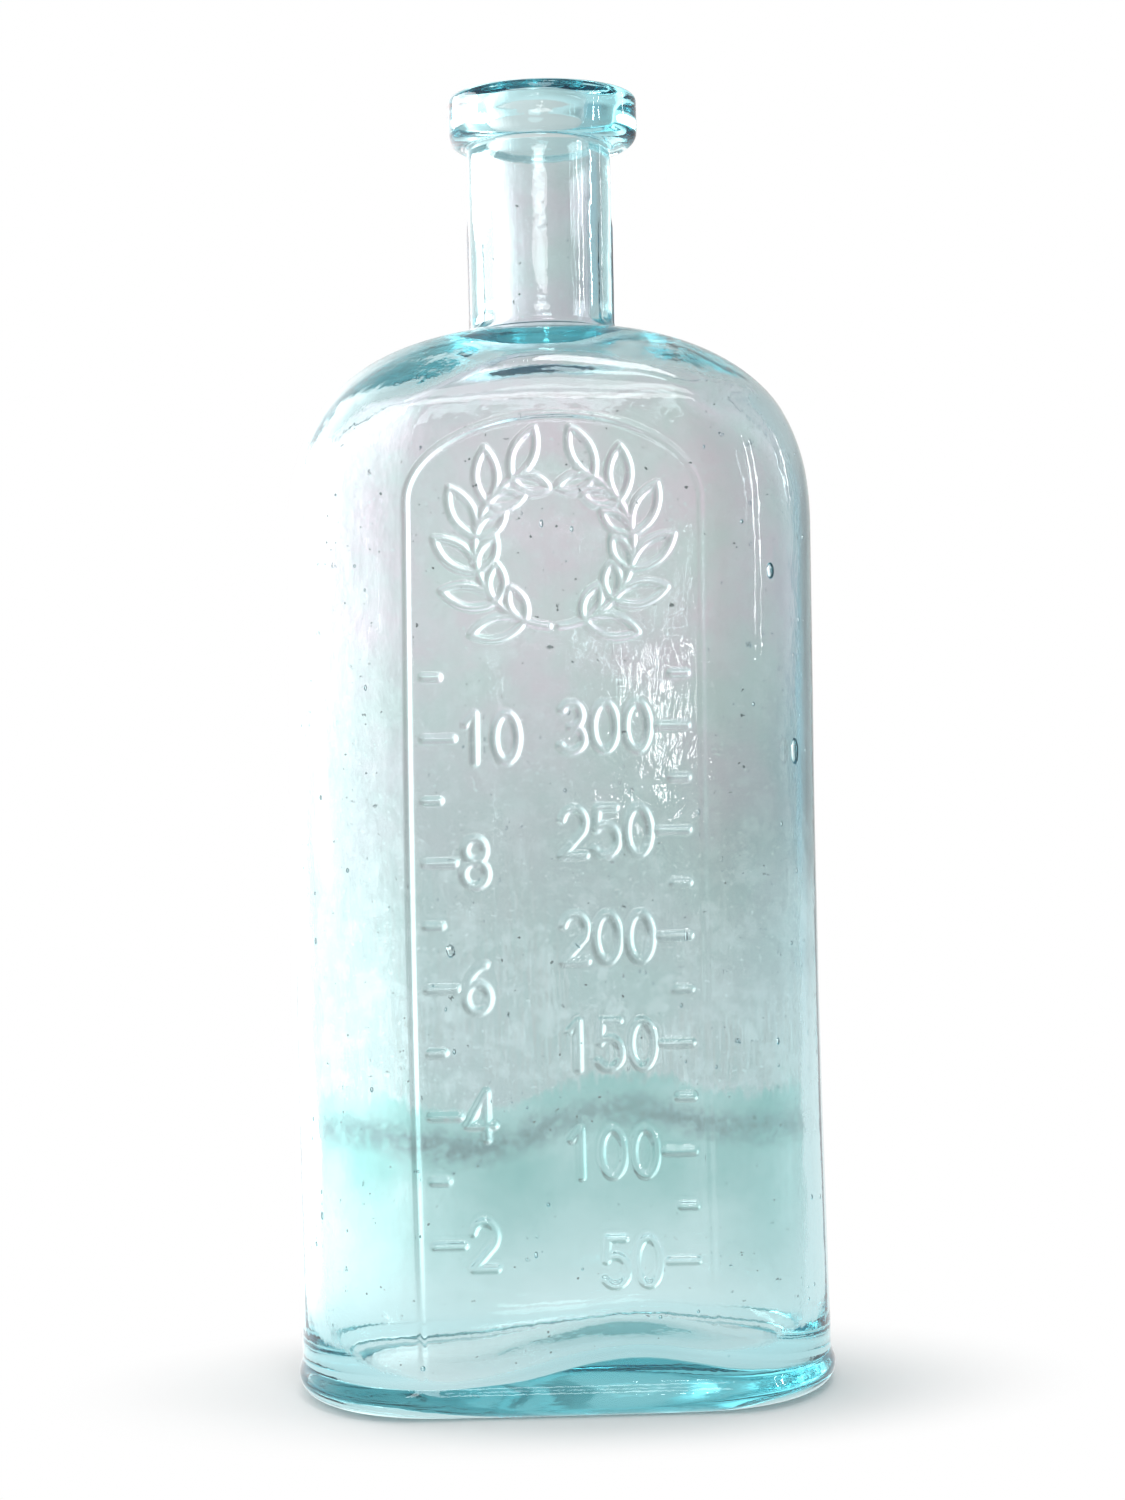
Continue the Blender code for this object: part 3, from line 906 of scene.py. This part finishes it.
# Partly real haze and partly painted shade of a darker wall behind the bottle
HIGH_HAZE_AND_WALL_SHADE = ((0.96, 0.78, 0.84, 1), (0.83, 0.86, 0.84, 1))
LOW_HAZE_AND_WALL_SHADE = ((0.68, 0.68, 0.685, 1), (0.60, 0.665, 0.65, 1))
STREAK_GREY = (0.66, 0.65, 0.64, 1)
RESIDUE_WHITE = (0.95, 0.96, 0.96, 1)
# The green tint below the dark line
LOW_TINT_GREEN = (0.36, 0.57, 0.54, 1)
# Painted shade: the grey of the dark line
PAINTED_SHADE_GREY = (0.27, 0.32, 0.33, 1)
SPECK_DARK = (0.10, 0.11, 0.11, 1)

# The glass itself
GLASS_IOR = 1.5
DEEP_GLASS = (0.10, 0.74, 0.80, 1)
GLASS_DENSITY = 50.0
DENT_DEPTH = 0.00005
DENTS = Grain(330.0, 3.0, (1, 1, 0.6))
FINE_DENTS = Grain(1900.0, 2.0)
FINE_DENT_SHARE = 0.05
HAZE_ROUGHNESS = (0.02, 0.14)
HANDLING_MARKS = Marks(Grain(420.0, 5.0, shift=(0.2, 0.6, 0.1)), 0.50, 0.70)
HANDLING_ROUGHNESS = 0.03


def horizon_marks(tree, place, x, y, z):
    """Where the haze and the painted wall shade are, where the dark line of painted shade is and where the
    green tint below it is.
    """
    turn = tree.multiply(tree.subtract(x, HORIZON_WAVE_START), 2 * math.pi / HORIZON_WAVE_LENGTH)
    wave = tree.multiply(tree.maths("SINE", turn), HORIZON_WAVE)
    fray = tree.multiply(tree.subtract(tree.noise(place, FRAY_GRAIN), 0.5), HORIZON_FRAY)
    slant = tree.subtract(tree.multiply(x, HORIZON_SIDE_SLOPE), tree.multiply(y, HORIZON_FACE_SLOPE))
    level = tree.subtract(tree.subtract(z, slant), tree.add(wave, fray))

    feather = tree.subtract(tree.noise(place, FEATHER_GRAIN), 0.5)
    # The edge of the haze and of the painted wall shade
    edge_level = tree.add(level, tree.multiply(feather, EDGE_FEATHER))
    above = tree.ramp(edge_level, HAZE_AND_SHADE_EDGE - HAZE_AND_SHADE_EDGE_SOFTNESS, HAZE_AND_SHADE_EDGE + HAZE_AND_SHADE_EDGE_SOFTNESS)

    # The dark line of painted shade
    off_line = tree.maths("ABSOLUTE", tree.subtract(level, SHADE_LINE_LEVEL))
    shade_line = tree.ramp(off_line, 0.0, SHADE_LINE_REACH, 1.0, 0.0)
    shade_line = tree.multiply(shade_line, tree.marks(place, SHADE_LINE_GRAIN, LEAST_SHADE_LINE_GRAIN))
    shade_line = tree.multiply(shade_line, tree.marks(place, SHADE_LINE_BREAKS, LEAST_AT_BREAKS))

    # The green tint below the dark line, mottled
    low_tint = tree.ramp(level, SHADE_LINE_LEVEL - LOW_TINT_DEPTH, SHADE_LINE_LEVEL - LOW_TINT_TOP_GAP)
    low_tint = tree.multiply(low_tint, tree.marks(place, LOW_TINT_MOTTLE, LEAST_LOW_TINT))
    return above, shade_line, low_tint


def haze_marks(tree, place, z):
    """The streaks in the haze, the residue on it, and all that is pale in it."""
    low_haze = tree.ramp(z, *LOW_HAZE_HEIGHTS)
    patches = tree.marks(place, PATCHES)
    streaks = tree.multiply(tree.multiply(tree.marks(place, STREAKS), patches), low_haze)
    scratches = tree.multiply(tree.multiply(tree.marks(place, SCRATCHES), patches), low_haze)
    residue_share = tree.add(tree.multiply(low_haze, 1 - HIGH_RESIDUE), HIGH_RESIDUE)
    residue = tree.multiply(tree.marks(place, BLOTCHES), residue_share)
    specks = tree.multiply(tree.marks(place, SPECKS), SPECK_PALENESS)
    pale = tree.maximum(specks, tree.multiply(scratches, SCRATCH_PALENESS))
    pale = tree.maximum(pale, tree.multiply(residue, RESIDUE_PALENESS))
    return streaks, residue, pale


def inside_tint(tree, place, z, horizon, streaks, pale):
    """The tint of the inside wall: haze and painted wall shade above its edge, a green tint below, the dark
    line of painted shade and dark specks.
    """
    above, shade_line, low_tint = horizon
    clouds = tree.marks(place, CLOUDS)
    low = tree.mix(streaks, tree.mix(clouds, *LOW_HAZE_AND_WALL_SHADE), STREAK_GREY)
    # Haze and painted wall shade, above the edge
    haze_and_wall_shade = tree.mix(tree.ramp(z, *HAZE_AND_SHADE_COLOUR_HEIGHTS), tree.mix(clouds, *HIGH_HAZE_AND_WALL_SHADE), low)
    haze_and_wall_shade = tree.mix(pale, haze_and_wall_shade, RESIDUE_WHITE)
    tint = tree.mix(above, tree.mix(low_tint, CLEAR, LOW_TINT_GREEN), haze_and_wall_shade)
    tint = tree.mix(shade_line, tint, PAINTED_SHADE_GREY)
    return tree.mix(tree.marks(place, DARK_SPECKS), tint, SPECK_DARK)


def make_glass():
    """Clear glass coloured by its depth, with haze and painted wall shade on the inside above a dark line
    of painted shade.
    """
    material = bpy.data.materials.new("aqua_glass")
    material.use_nodes = True
    tree = Tree(material.node_tree)
    shader = tree.nodes["Principled BSDF"]
    place = tree.nodes.new("ShaderNodeTexCoord").outputs["Object"]
    x, y, z = tree.split(place)
    attribute = tree.nodes.new("ShaderNodeAttribute")
    attribute.attribute_name = "inside"
    inside = attribute.outputs["Fac"]

    horizon = horizon_marks(tree, place, x, y, z)
    above, shade_line, _ = horizon
    streaks, residue, pale = haze_marks(tree, place, z)
    tint = inside_tint(tree, place, z, horizon, streaks, pale)
    tree.put(tree.mix(inside, CLEAR, tint), shader.inputs["Base Color"])

    cover = tree.multiply(above, tree.add(HAZE_COVER, tree.multiply(pale, PALE_COVER)))
    # Painted shade: less light passes at the dark line
    cover = tree.maximum(cover, tree.multiply(shade_line, SHADE_LINE_COVER))
    cover = tree.multiply(cover, inside)
    tree.put(tree.subtract(1.0, cover), shader.inputs["Transmission Weight"])

    hazed = tree.multiply(above, inside)
    veil = tree.multiply(hazed, tree.ramp(residue, 0.0, 1.0, *HAZE_ROUGHNESS))
    handled = tree.marks(place, HANDLING_MARKS, 0.0, HANDLING_ROUGHNESS)
    tree.put(tree.maximum(veil, handled), shader.inputs["Roughness"])

    dents = tree.nodes.new("ShaderNodeBump")
    dents.inputs["Distance"].default_value = DENT_DEPTH
    fine = tree.multiply(tree.noise(place, FINE_DENTS), FINE_DENT_SHARE)
    tree.put(tree.add(tree.noise(place, DENTS), fine), dents.inputs["Height"])
    tree.put(dents.outputs["Normal"], shader.inputs["Normal"])

    shader.inputs["IOR"].default_value = GLASS_IOR
    absorb = tree.nodes.new("ShaderNodeVolumeAbsorption")
    absorb.inputs["Color"].default_value = DEEP_GLASS
    absorb.inputs["Density"].default_value = GLASS_DENSITY
    tree.put(absorb.outputs["Volume"], tree.nodes["Material Output"].inputs["Volume"])
    return material


def make_bottle():
    mesh = shell()
    weather(mesh)
    add_seeds(mesh)
    mesh.shade_smooth()
    mesh.materials.append(make_glass())
    bottle = bpy.data.objects.new("glass_bottle", mesh)
    bpy.context.scene.collection.objects.link(bottle)
    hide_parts("blown_body", "applied_lip")
    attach(bottle, "root")


# The room round the bottle, by the direction in which each change begins and ends
ROOM_WHITE = (1, 1, 1, 1)
ROOM_GREY = (0.635, 0.62, 0.605, 1)
ROOM_DARK = (0.39, 0.395, 0.405, 1)
ROOM_SKY = (0.43, 0.57, 0.63, 1)
CEILING_GREY = (0.66, 0.67, 0.67, 1)
WINDOW_WHITE = (1, 0.93, 0.92, 1)
GREY_TURN = (-0.20, 0.25)
DARK_TURN = (0.20, 0.55)
SKY_TURN = (0.60, 0.78)
CEILING_TURN = (0.05, 0.32)
CEILING_SHARE = 0.7
WINDOW_GLOW = 1.5
WINDOW_INNER_EDGE = (-0.03, -0.32)
WINDOW_OUTER_EDGE = (-0.75, -0.42)
GLOW_PAST_OUTER_EDGE = 0.35
WINDOW_FRONT_EDGE = (-0.10, 0.40)
WINDOW_TOP_EDGE = (0.75, 0.30)

# The floor: plain white to the camera past its fade, and painted room light to the glass, with a painted
# shadow under the bottle
FLOOR_WHITE = (0.95, 0.95, 0.95, 1)
FLOOR_ROUGHNESS = 0.8
FLOOR_SHINE = 0.1
FLOOR_RADIUS = 6.0
FLOOR_CORNERS = 96
FLOOR_FADE = (0.027, 0.051)
FLOOR_VIEW_HEIGHT = 0.28
FLOOR_PALENESS = 0.85
PALENESS_TURN = (-0.04, -0.55)
# Painted shadow: the floor as the glass sees it is darker under the bottle
PAINTED_SHADOW_EDGE = (0.018, 0.030)
PAINTED_SHADOW_BRIGHTNESS = 0.85


def room_light(tree, direction):
    """What the glass sees of the room in each direction: white, greyer to the right and overhead, with
    cool daylight far to the right, and brighter to the left, where a wide soft window is, faintly warm.
    Gives a colour and a strength."""
    x, y, z = tree.split(direction)
    colour = tree.mix(tree.ramp(x, *GREY_TURN), ROOM_WHITE, ROOM_GREY)
    colour = tree.mix(tree.ramp(x, *DARK_TURN), colour, ROOM_DARK)
    colour = tree.mix(tree.ramp(x, *SKY_TURN), colour, ROOM_SKY)
    colour = tree.mix(tree.ramp(z, *CEILING_TURN, 0.0, CEILING_SHARE), colour, CEILING_GREY)
    across = tree.ramp(x, *WINDOW_OUTER_EDGE, GLOW_PAST_OUTER_EDGE, 1.0)
    glow = tree.multiply(tree.ramp(x, *WINDOW_INNER_EDGE), across)
    glow = tree.multiply(glow, tree.ramp(y, *WINDOW_FRONT_EDGE))
    glow = tree.multiply(glow, tree.ramp(z, *WINDOW_TOP_EDGE))
    colour = tree.mix(glow, colour, WINDOW_WHITE)
    return colour, tree.add(1.0, tree.multiply(glow, WINDOW_GLOW))


def floor_light(tree, place, distance):
    """What the glass sees of the floor: painted room light, paler straight below, with a painted shadow
    under the bottle.
    Gives a colour and a strength."""
    lowered = tree.vector_maths("SUBTRACT", place, (0, 0, FLOOR_VIEW_HEIGHT))
    direction = tree.vector_maths("NORMALIZE", lowered)
    colour, strength = room_light(tree, direction)
    paleness = tree.ramp(tree.split(direction)[2], *PALENESS_TURN, 0.0, FLOOR_PALENESS)
    # A painted shadow under the bottle
    painted_shadow = tree.ramp(distance, *PAINTED_SHADOW_EDGE, PAINTED_SHADOW_BRIGHTNESS, 1.0)
    return tree.mix(paleness, colour, ROOM_WHITE), tree.multiply(strength, painted_shadow)


def make_floor_material():
    """Matt and pale near the bottle, where the shadow falls, plain white to the camera further off, and
    painted room light with a painted shadow under the bottle to the glass."""
    material = bpy.data.materials.new("pale_floor")
    material.use_nodes = True
    tree = Tree(material.node_tree)
    matt = tree.nodes["Principled BSDF"]
    matt.inputs["Base Color"].default_value = FLOOR_WHITE
    matt.inputs["Roughness"].default_value = FLOOR_ROUGHNESS
    matt.inputs["Specular IOR Level"].default_value = FLOOR_SHINE
    place = tree.nodes.new("ShaderNodeTexCoord").outputs["Object"]
    squeezed = tree.vector_maths("MULTIPLY", place, (DEPTH / WIDTH_AT_BASE, 1, 1))
    distance = tree.vector_maths("LENGTH", squeezed)
    path = tree.nodes.new("ShaderNodeLightPath").outputs
    far = tree.multiply(tree.ramp(distance, *FLOOR_FADE), path["Is Camera Ray"])
    in_glass = tree.maximum(path["Is Glossy Ray"], path["Is Transmission Ray"])
    colour, strength = floor_light(tree, place, distance)
    light = tree.nodes.new("ShaderNodeEmission")
    tree.put(tree.mix(in_glass, ROOM_WHITE, colour), light.inputs["Color"])
    tree.put(tree.number_mix(in_glass, 1.0, strength), light.inputs["Strength"])
    blend = tree.nodes.new("ShaderNodeMixShader")
    tree.put(tree.maximum(far, in_glass), blend.inputs[0])
    tree.put(matt.outputs["BSDF"], blend.inputs[1])
    tree.put(light.outputs["Emission"], blend.inputs[2])
    tree.put(blend.outputs["Shader"], tree.nodes["Material Output"].inputs["Surface"])
    return material


def make_stage():
    bpy.ops.mesh.primitive_circle_add(
        vertices=FLOOR_CORNERS, radius=FLOOR_RADIUS, fill_type="NGON", location=(0, 0, 0)
    )
    floor = bpy.context.object
    floor.name = "floor"
    floor.data.materials.append(make_floor_material())


def make_world():
    """The room round the bottle, plain white to the camera."""
    world = bpy.data.worlds.new("studio")
    world.use_nodes = True
    tree = Tree(world.node_tree)
    background = tree.nodes["Background"]
    colour, strength = room_light(tree, tree.nodes.new("ShaderNodeTexCoord").outputs["Generated"])
    camera = tree.nodes.new("ShaderNodeLightPath").outputs["Is Camera Ray"]
    tree.put(tree.mix(camera, colour, ROOM_WHITE), background.inputs["Color"])
    tree.put(tree.number_mix(camera, strength, 1.0), background.inputs["Strength"])
    bpy.context.scene.world = world


# Lamps round the bottle: degrees to the right of the front, distance and height of the middle,
# width, height, brightness, where 1 is white, and degrees of tilt towards the floor
Lamp = namedtuple("Lamp", "azimuth distance height wide tall brightness tilt")
LAMPS = {
    "neck_window": Lamp(-1, 1.60, 0.49, 0.70, 0.13, 5.5, 0),
    "face_spot": Lamp(3.9, 1.60, 0.106, 0.012, 0.13, 24.0, 0),
    "heel_window": Lamp(-1, 1.60, 0.82, 0.90, 0.35, 4.0, 0),
    "lip_window": Lamp(-113, 1.20, 0.50, 1.32, 0.22, 7.5, 0),
    "right_strip_a": Lamp(64, 1.20, 0.33, 0.02, 0.38, 30.0, 0),
    "right_strip_b": Lamp(72, 1.20, 0.33, 0.02, 0.38, 30.0, 0),
    "back_strip": Lamp(116, 1.20, 0.42, 0.03, 0.30, 8.0, 0),
    "top_window": Lamp(12, 0.90, 1.35, 0.45, 0.28, 10.0, 53),
}


def make_lamps():
    """Flat elliptical lamps, whose power is what makes each look as bright as its number says."""
    for name, lamp in LAMPS.items():
        data = bpy.data.lights.new(name, "AREA")
        data.shape = "ELLIPSE"
        data.size, data.size_y = lamp.wide, lamp.tall
        data.energy = lamp.brightness * math.pi * math.pi / 4 * lamp.wide * lamp.tall
        piece = bpy.data.objects.new(name, data)
        turn = math.radians(lamp.azimuth)
        piece.location = (lamp.distance * math.sin(turn), -lamp.distance * math.cos(turn), lamp.height)
        piece.rotation_euler = (QUARTER_TURN - math.radians(lamp.tilt), 0, turn)
        bpy.context.scene.collection.objects.link(piece)


# The camera: its distance from the middle, height, place round the bottle and own turns, and a lens
# that comes from the focal length and the height of the photograph in pixels
CAMERA_DISTANCE = 0.450
CAMERA_HEIGHT = 0.110
CAMERA_AZIMUTH = math.radians(-1.15)
CAMERA_PAN = math.radians(-0.156)
CAMERA_PITCH = math.radians(0.70)
CAMERA_ROLL = math.radians(-1.216)
SENSOR = 36.0
FOCAL_PIXELS = 2724
FRAME_HEIGHT_PIXELS = 1500
LENS = FOCAL_PIXELS * SENSOR / FRAME_HEIGHT_PIXELS


def make_camera():
    data = bpy.data.cameras.new("camera")
    data.sensor_width = SENSOR
    data.lens = LENS
    camera = bpy.data.objects.new("camera", data)
    bpy.context.scene.collection.objects.link(camera)
    place = (
        CAMERA_DISTANCE * math.sin(CAMERA_AZIMUTH),
        -CAMERA_DISTANCE * math.cos(CAMERA_AZIMUTH),
        CAMERA_HEIGHT,
    )
    camera.matrix_world = (
        Matrix.Translation(place)
        @ Matrix.Rotation(CAMERA_AZIMUTH + CAMERA_PAN, 4, "Z")
        @ Matrix.Rotation(QUARTER_TURN - CAMERA_PITCH, 4, "X")
        @ Matrix.Rotation(CAMERA_ROLL, 4, "Z")
    )
    bpy.context.scene.camera = camera


# Light is passed on inside thick glass many times before it gets out
GLASS_BOUNCES = 32

make_bottle()
make_stage()
make_world()
make_lamps()
make_camera()
bpy.context.scene.view_settings.view_transform = "Standard"
bpy.context.scene.cycles.max_bounces = GLASS_BOUNCES
bpy.context.scene.cycles.transmission_bounces = GLASS_BOUNCES
bpy.context.scene.cycles.glossy_bounces = GLASS_BOUNCES
